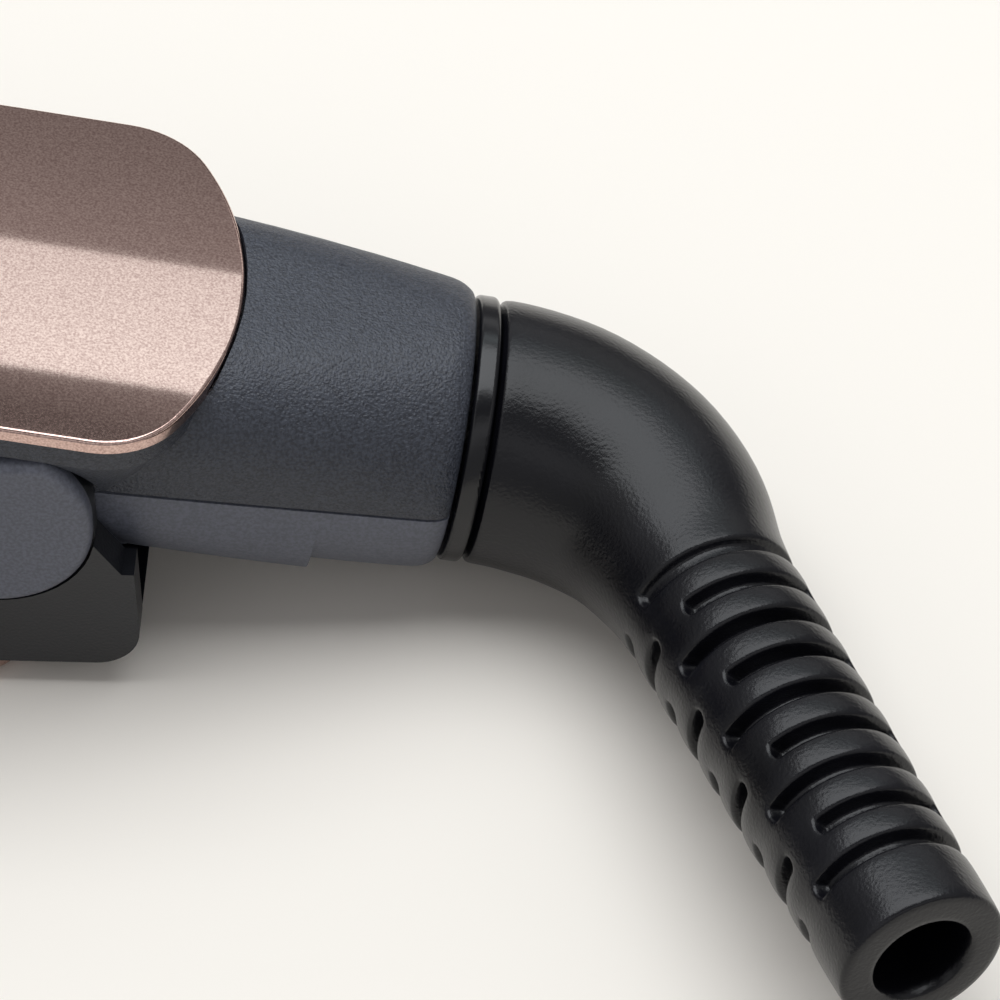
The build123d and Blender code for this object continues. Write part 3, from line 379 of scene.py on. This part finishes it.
# Centreless-ground hinge pin: the brightest of the steels.
PIN_STEEL = drawn_metal("ground_steel", "#BCBDBE", "#CBCCCC", 0.16, 0.1 * MM)
# Turned brass rings and stamped bronze brushes: yellow, with turning marks.
BRASS = drawn_metal("turned_brass", "#C9A868", "#D8BA7C", 0.24, 0.12 * MM)
# Sintered alumina: dry white, with a little speckle.
CERAMIC = moulded("sintered_alumina", "#D9D5CB", "#E8E5DE", 0.62, 0.6 * MM, 0.02 * MM)
# Glass-filled polyamide: matt dark brown, its fibres show as a pale mottle.
CARRIER = moulded("glass_filled_polyamide", "#2B2420", "#3D342E", 0.55, 1.2 * MM, 0.03 * MM)
# Moulded acetal: milky white with a waxy gloss.
ACETAL = moulded("moulded_acetal", "#DAD7CE", "#E6E4DD", 0.32, 3 * MM, 0.008 * MM,
                 Subsurface_Weight=0.1)
# Epoxy-dipped bead of the temperature sensor: glossy amber brown.
BEAD = moulded("epoxy_dipped_bead", "#5A3217", "#6E4020", 0.18, 0.8 * MM, 0.01 * MM)
# Extruded silicone sleeve over the leads: off-white rubber, soft sheen.
SLEEVE = moulded("extruded_silicone", "#C9C4B8", "#D8D4CA", 0.48, 1.5 * MM, 0.01 * MM)
# Clear-coated acrylic panel, printed black behind: a hard even gloss.
PANEL = moulded("back_printed_acrylic", "#0C0C10", "#131318", 0.10, 5 * MM, 0.003 * MM)
# Double-shot keys: satin grey.
KEY = moulded("double_shot_key_abs", "#55585F", "#5E6168", 0.38, 2 * MM, 0.012 * MM)
# Frosted polycarbonate over a lamp that is off: milky.
LENS = moulded("frosted_polycarbonate", "#C2C9CC", "#D3D9DB", 0.30, 0.8 * MM, 0.006 * MM,
               Subsurface_Weight=0.15)
# Black polyamide bodies of the tact switches: dull.
SWITCH = moulded("switch_polyamide", "#1B1B1D", "#242427", 0.45, 1 * MM, 0.01 * MM)

FINISHES = (
    (GREY_GRAINED, ("upper_housing",)),
    # The strip and hinge caps get a paler grey than the housing: painted light, for the light that
    # falls on them.
    (GREY_SMOOTH_PAINTED_LIT, ("rear_strip", "hinge_cap_left", "hinge_cap_right")),
    (BLACK, ("lower_housing", "upper_cool_tip", "lower_cool_tip", "brush_holder")),
    (LACQUER, ("upper_cover", "lower_cover")),
    (POLISHED, ("swivel_collar",)),
    (ELASTOMER, ("strain_relief",)),
    (PLATE, ("upper_heating_plate", "lower_heating_plate")),
    (CARRIER, ("upper_plate_carrier", "lower_plate_carrier")),
    (CERAMIC, ("upper_heater", "lower_heater")),
    (BEAD, ("upper_sensor", "lower_sensor")),
    (SLEEVE, ("upper_leads", "lower_leads")),
    (ACETAL, ("swivel_spindle",)),
    (BRASS, ("slip_rings", "contact_brushes")),
    (SCREW_STEEL, ("upper_cover_screws", "lower_cover_screws", "rear_screws")),
    (SPRING_STEEL, ("upper_plate_springs", "lower_plate_springs", "hinge_spring", "spindle_clip")),
    (PIN_STEEL, ("hinge_pin",)),
    (PANEL, ("control_panel",)),
    (KEY, ("power_button", "plus_button", "minus_button")),
    (LENS, ("indicator_lenses",)),
    (BOARD, ("control_board",)),
    (SWITCH, ("switches",)),
)
for material, names in FINISHES:
    for name in names:
        mesh = frame["nodes"][name].data
        mesh.materials.clear()
        mesh.materials.append(material)

# Strain relief: an elbow that narrows to a ribbed neck, with slots between its ribs

RELIEF_ROLL = radians(8.0)
BEND = OUTWARD * sin(RELIEF_ROLL) - LEFT * cos(RELIEF_ROLL)
ELBOW_START = 2.3 * MM
ELBOW_RADIUS = 15.2 * MM
ELBOW_ANGLE = radians(68.0)
ELBOW_LENGTH = ELBOW_RADIUS * ELBOW_ANGLE
NECK = ELBOW_LENGTH + 5.2 * MM
ELBOW_RINGS = 11
RIB_LENGTH = 38.0 * MM
RIB_PITCH = 3.65 * MM
RIB_COUNT = 9
RIB_CREASE = 0.08 * MM  # the skin dips this much beside a slot
SLOT_START = 2.1 * MM
SLOT_WIDTH = 1.65 * MM
SLOT_MARGIN = 0.1 * MM
SLOT_FLOOR = 4.95 * MM  # radius of a full slot's floor
SHALLOWER = 1.05  # how much further out the first slot's floor lies, in mm
SHALLOWER_STEP = 0.5  # and how much of that each slot after it loses
SLOT_MIDDLE = 0.3 * MM  # points this near to the middle of a slot's width aren't its corners
SLOT_END_TURN = 3.4  # degrees by which the corners of a slot draw away from its web
LIP_DEPTH = 0.16 * MM
FOOT_HEIGHT = 0.1 * MM
LIP_INSET, FOOT_INSET, FLOOR_INSET = 0.14 * MM, 0.13 * MM, 0.2 * MM
OUTSIDE_RADIUS = 5.5 * MM  # faces further out than this are the skin, not the passage
WEB_TURNS = ((88, 268), (64, 178, 292))  # degrees of the webs that end the slots, in turn
HALF_WEB = 12
WEB_EDGE = 0.5  # a point this near to a web's edge is a corner of a slot
SECTOR = 6 # degrees between neighbouring points of a ring, a whole share of each web and slot
FIRST_POINT = 4
GROOVE_LENGTH = 0.4 * MM
SOCKET_DEPTH = 2.7 * MM
SOCKET_RADIUS = 4.9 * MM
PASSAGE_RADIUS = 3.3 * MM
CORD_BORE = 3.5 * MM  # radius
# (distance, radius) along the skin, in metres from the start of the elbow
SKIN = (
    (0, 10.0 * MM), (ELBOW_LENGTH / 3, 9.82 * MM), (ELBOW_LENGTH * 2 / 3, 9.15 * MM),
    (ELBOW_LENGTH, 8.05 * MM), (NECK, 6.85 * MM), (NECK + RIB_LENGTH, 6.05 * MM),
)
# The groove by the collar and the rounded rim after it, then the rounded end of the ribs
RIM_RINGS = (
    (-GROOVE_LENGTH, 9.4 * MM), (-0.05 * MM, 9.4 * MM), (0.0, 9.75 * MM), (0.25 * MM, 9.97 * MM),
)
END_RINGS = (
    (-0.6 * MM, 6.06 * MM), (-0.1 * MM, 6.0 * MM), (0, 5.6 * MM), (0, 3.9 * MM),
    (-0.05 * MM, 3.6 * MM), (-0.5 * MM, CORD_BORE),
)


def relief_frame(distance):
    """Frame on the strain relief's centre line, this far past the start of its elbow."""
    turn = min(max(distance, 0.0) / ELBOW_RADIUS, ELBOW_ANGLE)
    forward = ALONG * cos(turn) + BEND * sin(turn)
    centre = SWIVEL + ALONG * (ELBOW_START + ELBOW_RADIUS * sin(turn))
    centre += BEND * ELBOW_RADIUS * (1 - cos(turn))
    centre += forward * (distance - turn * ELBOW_RADIUS)
    x_axis = ALONG.cross(BEND)
    return frame_matrix(centre, x_axis, forward.cross(x_axis), forward)


def skin_radius(distance):
    for (a, low), (b, high) in zip(SKIN, SKIN[1:]):
        if distance <= b:
            return low + (high - low) * (distance - a) / (b - a)
    return SKIN[-1][1]


def relief_rings():
    """(distance, radius) of each ring: along the skin to the end, and back through the passage."""
    rings = list(RIM_RINGS)
    past_elbow = ELBOW_LENGTH + 2.5 * MM
    on_skin = [past_elbow * step / ELBOW_RINGS for step in range(1, ELBOW_RINGS + 1)]
    on_skin += [NECK - 0.6 * MM, NECK + SLOT_START / 2]
    rings += [(distance, skin_radius(distance)) for distance in on_skin]
    for rib in range(RIB_COUNT):
        start = NECK + SLOT_START + rib * RIB_PITCH
        for distance in (start, start + SLOT_WIDTH / 2, start + SLOT_WIDTH):
            rings.append((distance, skin_radius(distance) - RIB_CREASE))
        crown = start + (SLOT_WIDTH + RIB_PITCH) / 2
        rings.append((crown, skin_radius(crown)))
    rings += [(NECK + RIB_LENGTH + past, radius) for past, radius in END_RINGS]
    rings.append((ELBOW_LENGTH, CORD_BORE))
    rings += [(ELBOW_LENGTH * step / 5, PASSAGE_RADIUS) for step in (4.9, 4, 3, 2)]
    rings += [(SOCKET_DEPTH, PASSAGE_RADIUS), (SOCKET_DEPTH, SOCKET_RADIUS)]
    rings.append((-GROOVE_LENGTH, SOCKET_RADIUS))
    return rings


def ring_matrix(distance, radius):
    return relief_frame(distance) @ Matrix.Scale(radius, 4)


def make_strain_relief():
    """Elbow and ribs in one closed skin: one ring drawn along the rings, with the slots sunk."""
    bm = bmesh.new()
    rings = relief_rings()
    first = Matrix.Rotation(radians(FIRST_POINT), 4, "Z")
    made = bmesh.ops.create_circle(bm, segments=360 // SECTOR, radius=1.0,
                                   matrix=ring_matrix(*rings[0]) @ first)
    edges = list({edge for vert in made["verts"] for edge in vert.link_edges})
    first_edges = edges
    for old_ring, ring in zip(rings, rings[1:]):
        grown = bmesh.ops.extrude_edge_only(bm, edges=edges)["geom"]
        verts = [item for item in grown if isinstance(item, bmesh.types.BMVert)]
        edges = [item for item in grown if isinstance(item, bmesh.types.BMEdge)
                 and all(vert in verts for vert in item.verts)]
        move = ring_matrix(*ring) @ ring_matrix(*old_ring).inverted()
        bmesh.ops.transform(bm, matrix=move, verts=verts)
    bmesh.ops.bridge_loops(bm, edges=edges + first_edges)
    for rib in range(RIB_COUNT):
        cut_slots(bm, rib)
    bmesh.ops.recalc_face_normals(bm, faces=bm.faces)
    return bm


def turn_of(point):
    """Degrees round the ribs from their top towards the left, for a point in the neck's frame."""
    return (degrees(atan2(point.y, point.x)) - 180) % 360


def past_web(point, web):
    """Degrees from a web round to the point, from -180 to 180."""
    return (turn_of(point) - web + 180) % 360 - 180


def cut_slots(bm, rib):
    """Sinks the slots before a rib: their faces are inset and drawn in, step by step."""
    neck = relief_frame(NECK)
    into = neck.inverted()
    start = SLOT_START + rib * RIB_PITCH
    webs = WEB_TURNS[rib % 2]
    faces = []
    for face in bm.faces:
        place = into @ face.calc_center_median()
        beside = start - SLOT_MARGIN < place.z < start + SLOT_WIDTH + SLOT_MARGIN
        if beside and place.xy.length > OUTSIDE_RADIUS:
            if all(abs(past_web(place, web)) > HALF_WEB for web in webs):
                faces.append(face)
    for vert in {vert for face in faces for vert in face.verts}:
        place = into @ vert.co
        if abs(place.z - start - SLOT_WIDTH / 2) < SLOT_MIDDLE:
            continue
        for web in webs:
            off = past_web(place, web)
            if abs(abs(off) - HALF_WEB) < WEB_EDGE:
                turn = SLOT_END_TURN if off > 0 else -SLOT_END_TURN
                away = Matrix.Rotation(radians(turn), 4, "Z")
                bmesh.ops.transform(bm, matrix=neck @ away @ into, verts=[vert])
    floor = SLOT_FLOOR + max(0.0, SHALLOWER - SHALLOWER_STEP * rib) * MM
    lip = skin_radius(NECK + start) - LIP_DEPTH
    steps = ((LIP_INSET, lip), (FOOT_INSET, floor + FOOT_HEIGHT), (FLOOR_INSET, floor))
    for thickness, radius in steps:
        bmesh.ops.inset_region(bm, faces=faces, thickness=thickness,
                               use_even_offset=True, use_boundary=True)
        verts = list({vert for face in faces for vert in face.verts})
        now = sum((into @ vert.co).xy.length for vert in verts) / len(verts)
        shrink = Matrix.Diagonal((radius / now, radius / now, 1.0, 1.0))
        bmesh.ops.transform(bm, matrix=neck @ shrink @ into, verts=verts)


# Covers: a flat-bottomed lid with a round end, a crowned top and a rounded edge

COVER_SEAT = 12.7 * MM
COVER_TOP = ARM_DEPTH
COVER_CROWN = 0.6 * MM
COVER_FRONT = -223.0 * MM
COVER_SIDE = 16.5 * MM
COVER_FRONT_SIDE = 15.55 * MM
COVER_END_RADIUS = 25.0 * MM
COVER_CORNER = 7.0 * MM
COVER_EDGE = 0.3 * MM
EDGE_STEPS = 4
UPPER_APEX = 16.1 * MM
LOWER_APEX = 5.0 * MM
SHARP = 1.2  # radians; a cover's wall meets its seat at more than this
CORNER_STEPS = 10
END_STEPS = 28
# Where the top is cut so that it can be crowned, in mm: across it, along it, and before its end
CUTS_ACROSS = range(-15, 16)
CUTS_ALONG = (-200, -160, -120, -80, -40, -20, -10, -5)
CUTS_BEFORE_APEX = (2, 4, 6, 8, 10, 12)


def walk(bm, vert, step):
    """Extrudes one vertex by a step and returns the new one."""
    made = bmesh.ops.extrude_vert_indiv(bm, verts=[vert])["verts"][0]
    bmesh.ops.translate(bm, verts=[made], vec=step)
    return made


def turn_about(bm, vert, centre, angle, steps):
    """Draws an arc from a vertex about a centre and returns its last vertex."""
    last = bmesh.ops.spin(bm, geom=[vert], cent=centre, axis=(0, 0, 1), angle=angle,
                          steps=steps)["geom_last"]
    return [item for item in last if isinstance(item, bmesh.types.BMVert)][0]


def draw_cover_plan(bm, apex):
    """Draws a cover's outline on its seat, fills it, and returns the face."""
    end_centre = Vector((apex - COVER_END_RADIUS, 0, COVER_SEAT))
    inner = COVER_SIDE - COVER_CORNER
    corner_reach = sqrt((COVER_END_RADIUS - COVER_CORNER) ** 2 - inner ** 2)
    corner = Vector((end_centre.x + corner_reach, -inner, COVER_SEAT))
    opening = atan2(inner, corner_reach)
    first = bm.verts.new((COVER_FRONT, -COVER_FRONT_SIDE, COVER_SEAT))
    widest = min(0.0, corner.x)
    vert = walk(bm, first, (widest - COVER_FRONT, COVER_FRONT_SIDE - COVER_SIDE, 0))
    if corner.x > 0:
        vert = walk(bm, vert, (corner.x, 0, 0))
    vert = turn_about(bm, vert, corner, tau / 4 - opening, CORNER_STEPS)
    vert = turn_about(bm, vert, end_centre, 2 * opening, END_STEPS)
    vert = turn_about(bm, vert, (corner.x, inner, COVER_SEAT), tau / 4 - opening, CORNER_STEPS)
    if corner.x > 0:
        vert = walk(bm, vert, (-corner.x, 0, 0))
    vert = walk(bm, vert, (COVER_FRONT - widest, COVER_FRONT_SIDE - COVER_SIDE, 0))
    bm.edges.new((vert, first))
    bmesh.ops.remove_doubles(bm, verts=bm.verts, dist=0.001 * MM)
    return bmesh.ops.contextual_create(bm, geom=list(bm.edges))["faces"][0]


def crown_cover(bm, apex):
    """Cuts a cover's top into strips and lets its sides fall."""
    cuts = [((0, y * MM, 0), (0, 1, 0)) for y in CUTS_ACROSS]
    cuts += [((x * MM, 0, 0), (1, 0, 0)) for x in CUTS_ALONG]
    cuts += [((apex - x * MM, 0, 0), (1, 0, 0)) for x in CUTS_BEFORE_APEX]
    for point, normal in cuts:
        top = [face for face in bm.faces
               if face.calc_center_median().z > COVER_TOP - 0.01 * MM]
        shape = set(top)
        for face in top:
            shape.update(face.edges, face.verts)
        bmesh.ops.bisect_plane(bm, geom=list(shape), dist=0.001 * MM,
                               plane_co=point, plane_no=normal)
    for vert in bm.verts:
        if vert.co.z > COVER_SEAT + 0.1 * MM:
            fall = COVER_CROWN * (vert.co.y / COVER_SIDE) ** 2
            bmesh.ops.translate(bm, verts=[vert], vec=(0, 0, -fall))


def make_cover(frame_of_arm, apex):
    """Crowned cover of an arm: its plan is drawn, raised, edged and crowned."""
    bm = bmesh.new()
    base = draw_cover_plan(bm, apex)
    raised = bmesh.ops.extrude_face_region(bm, geom=[base])["geom"]
    top = [item for item in raised if isinstance(item, bmesh.types.BMFace)][0]
    wall = COVER_TOP - COVER_EDGE - COVER_SEAT
    bmesh.ops.translate(bm, verts=list(top.verts), vec=(0, 0, wall))
    for step in range(EDGE_STEPS):
        low, high = tau / 4 / EDGE_STEPS * step, tau / 4 / EDGE_STEPS * (step + 1)
        bmesh.ops.inset_region(bm, faces=[top], thickness=COVER_EDGE * (cos(low) - cos(high)),
                               use_even_offset=True)
        rise = COVER_EDGE * (sin(high) - sin(low))
        bmesh.ops.translate(bm, verts=list(top.verts), vec=(0, 0, rise))
    # The crown's edge stays sharp for the shading, so the rounded rim doesn't bend its reflections
    for edge in list(top.edges) + [edge for edge in bm.edges if edge.calc_face_angle(0) > SHARP]:
        edge.smooth = False
    crown_cover(bm, apex)
    bmesh.ops.recalc_face_normals(bm, faces=bm.faces)
    bmesh.ops.transform(bm, matrix=frame_of_arm, verts=bm.verts)
    return bm


# Shells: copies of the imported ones, with their edges rounded as a mould rounds them

RIM_CUTS = (31.7, 32.2, 32.6, 32.9, 33.1, 33.22)  # mm behind the hinge
RIM_START = 31.5 * MM
RIM_LENGTH = 1.8 * MM
RIM_DROP = 0.85 * MM
RIM_INSIDE = 10.2 * MM  # what lies within this radius is left alone
BEVEL_SEGMENTS = 3
CREASE = radians(24)  # an edge is rounded where its faces turn by more than this
# Name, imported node, material, radius of its edges, slot and body
SHELLS = (
    ("upper_shell", "upper_housing", GREY_GRAINED, 0.4 * MM, "grey_shell", "upper_arm"),
    # The strip and the hinge caps take the paler grey, which is painted light.
    ("strip_shell", "rear_strip", GREY_SMOOTH_PAINTED_LIT, 0.25 * MM, "grey_shell", "upper_arm"),
    ("hinge_cap_left_shell", "hinge_cap_left", GREY_SMOOTH_PAINTED_LIT, 0.9 * MM, "grey_shell", "lower_arm"),
    ("hinge_cap_right_shell", "hinge_cap_right", GREY_SMOOTH_PAINTED_LIT, 0.9 * MM, "grey_shell", "lower_arm"),
    ("collar_shell", "swivel_collar", POLISHED, 0.15 * MM, "black_collar", "swivel"),
)
# Name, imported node, frame of its arm, where its round end lies, and body
COVERS = (
    ("upper_cover_shell", "upper_cover", UPPER_ARM, UPPER_APEX, "upper_arm"),
    ("lower_cover_shell", "lower_cover", LOWER_ARM, LOWER_APEX, "lower_arm"),
)


def copy_of(name):
    """Merged copy of a CAD node's mesh."""
    bm = bmesh.new()
    bm.from_mesh(frame["nodes"][name].data)
    bmesh.ops.remove_doubles(bm, verts=bm.verts, dist=0.002 * MM)
    return bm


def round_rear_rim(bm):
    """Rounds the outer rim at the rear of the body: cuts rings close to it, draws each one in."""
    into = BODY.inverted()
    for station in RIM_CUTS:
        geometry = list(bm.verts) + list(bm.edges) + list(bm.faces)
        bmesh.ops.bisect_plane(bm, geom=geometry, dist=0.0005 * MM,
                               plane_co=BODY @ Vector((station * MM, 0, 0)), plane_no=ALONG)
    for vert in bm.verts:
        place = into @ vert.co
        radius = place.yz.length
        reach = (place.x - RIM_START) / RIM_LENGTH
        if reach > 0 and radius > RIM_INSIDE:
            drop = RIM_DROP * (1 - sqrt(max(0.0, 1 - min(reach, 1.0) ** 2)))
            shrink = Matrix.Diagonal((1.0, 1 - drop / radius, 1 - drop / radius, 1.0))
            bmesh.ops.transform(bm, matrix=BODY @ shrink @ into, verts=[vert])


def new_object(name, bm, material):
    """Object with a bmesh's shape, shaded smooth."""
    mesh = bpy.data.meshes.new(name)
    bm.to_mesh(mesh)
    bm.free()
    for face in mesh.polygons:
        face.use_smooth = True
    made = bpy.data.objects.new(name, mesh)
    bpy.context.scene.collection.objects.link(made)
    made.data.materials.append(material)
    return made


def subdivide(piece, levels):
    modifier = piece.modifiers.new("subdivision", "SUBSURF")
    modifier.levels = modifier.render_levels = levels


def soften(piece, radius):
    """Rounds the sharp creases of a piece."""
    bevel = piece.modifiers.new("bevel", "BEVEL")
    bevel.width = radius
    bevel.segments = BEVEL_SEGMENTS
    bevel.limit_method = "ANGLE"
    bevel.angle_limit = CREASE
    bevel.use_clamp_overlap = True
    weighted = piece.modifiers.new("weighted_normals", "WEIGHTED_NORMAL")
    weighted.keep_sharp = False


relief = new_object("relief_skin", make_strain_relief(), ELASTOMER)
subdivide(relief, 1)
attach(relief, "swivel")
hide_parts("strain_relief")

for name, node, material, edge, slot, body in SHELLS:
    bm = copy_of(node)
    if body == "upper_arm":
        round_rear_rim(bm)
    shell = new_object(name, bm, material)
    soften(shell, edge)
    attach(shell, body)
    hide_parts(node)

for name, node, arm, apex, body in COVERS:
    cover = new_object(name, make_cover(arm, apex), LACQUER)
    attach(cover, body)
    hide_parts(node)
